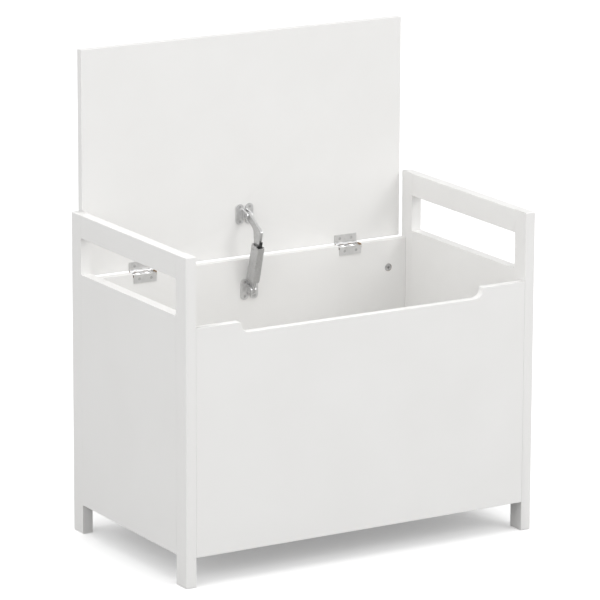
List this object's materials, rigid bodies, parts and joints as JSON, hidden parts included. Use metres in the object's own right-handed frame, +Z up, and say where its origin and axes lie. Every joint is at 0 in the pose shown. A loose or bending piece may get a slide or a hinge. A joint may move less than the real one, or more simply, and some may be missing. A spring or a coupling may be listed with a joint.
{
  "type": "wooden toy box",
  "caption": "White painted toy box and bench with a hinged lid on a braked lid stay, side rails over handle openings and a finger scoop.",
  "frame": {"origin": "on the floor, under the middle of the overall box with the lid open", "axes": "+Z up, the way the open lid stands; +X to the right along the hinges; the front faces -Y"},
  "size_m": [0.76, 0.459, 0.9339],
  "materials": {
    "paint": "satin white lacquer",
    "hinge_steel": "satin",
    "hinge_pin": "satin",
    "screw": "satin",
    "bracket": "cast, satin",
    "stay_plastic": "satin",
    "brake_plastic": "moulded, fine grain",
    "spring_steel": "oiled",
    "cam_zinc": "cast, satin"
  },
  "bodies": {
    "box": {"left_front_post": "paint", "left_rear_post": "paint", "left_top_rail": "paint", "left_side_panel": "paint", "right_front_post": "paint", "right_rear_post": "paint", "right_top_rail": "paint", "right_side_panel": "paint", "front_panel": "paint", "back_panel": "paint", "bottom_panel": "paint", "left_hinge_body_leaf": "hinge_steel", "left_hinge_pin": "hinge_pin", "left_hinge_body_screw_1": "screw", "left_hinge_body_screw_2": "screw", "right_hinge_body_leaf": "hinge_steel", "right_hinge_pin": "hinge_pin", "right_hinge_body_screw_1": "screw", "right_hinge_body_screw_2": "screw", "stay_base_bracket": "bracket", "stay_base_pin": "screw", "stay_base_screw_1": "screw", "stay_base_screw_2": "screw", "stay_base_screw_3": "screw", "stay_base_screw_4": "screw", "cam_front_left_lower": "cam_zinc", "cam_bolt_front_left_lower": "screw", "cam_front_left_upper": "cam_zinc", "cam_bolt_front_left_upper": "screw", "cam_front_right_lower": "cam_zinc", "cam_bolt_front_right_lower": "screw", "cam_front_right_upper": "cam_zinc", "cam_bolt_front_right_upper": "screw", "cam_back_left_lower": "cam_zinc", "cam_bolt_back_left_lower": "screw", "cam_back_left_upper": "cam_zinc", "cam_bolt_back_left_upper": "screw", "cam_back_right_lower": "cam_zinc", "cam_bolt_back_right_lower": "screw", "cam_back_right_upper": "cam_zinc", "cam_bolt_back_right_upper": "screw"},
    "lid": {"lid": "paint", "left_hinge_lid_leaf": "hinge_steel", "left_hinge_lid_screw_1": "screw", "left_hinge_lid_screw_2": "screw", "right_hinge_lid_leaf": "hinge_steel", "right_hinge_lid_screw_1": "screw", "right_hinge_lid_screw_2": "screw", "stay_lid_bracket": "bracket", "stay_lid_pin": "screw", "stay_lid_screw_1": "screw", "stay_lid_screw_2": "screw", "stay_lid_screw_3": "screw", "stay_lid_screw_4": "screw"},
    "stay_housing": {"stay_housing": "stay_plastic", "stay_end_lug": "stay_plastic", "stay_brake_shoe": "brake_plastic", "stay_brake_spring": "spring_steel", "stay_elbow_pin": "screw"},
    "stay_arm": {"stay_arm": "stay_plastic"}
  },
  "joints": [
    {"name": "lid_hinge", "type": "hinge", "parent": "box", "child": "lid", "pos_m": [0, 0.21155, 0.4933], "axis": [1, 0, 0], "range_deg": [0, 90]},
    {"name": "stay_base_pivot", "type": "hinge", "parent": "box", "child": "stay_housing", "pos_m": [0, 0.1825, 0.4334], "axis": [1, 0, 0], "range_deg": [0, 90]},
    {"name": "stay_lid_pivot", "type": "hinge", "parent": "lid", "child": "stay_arm", "pos_m": [0, 0.1973, 0.5788], "axis": [1, 0, 0], "range_deg": [-90, 0]}
  ],
  "couplings": [
    {"joint": "stay_base_pivot", "follows": "lid_hinge", "ratio": 1},
    {"joint": "stay_lid_pivot", "follows": "lid_hinge", "ratio": -1}
  ]
}
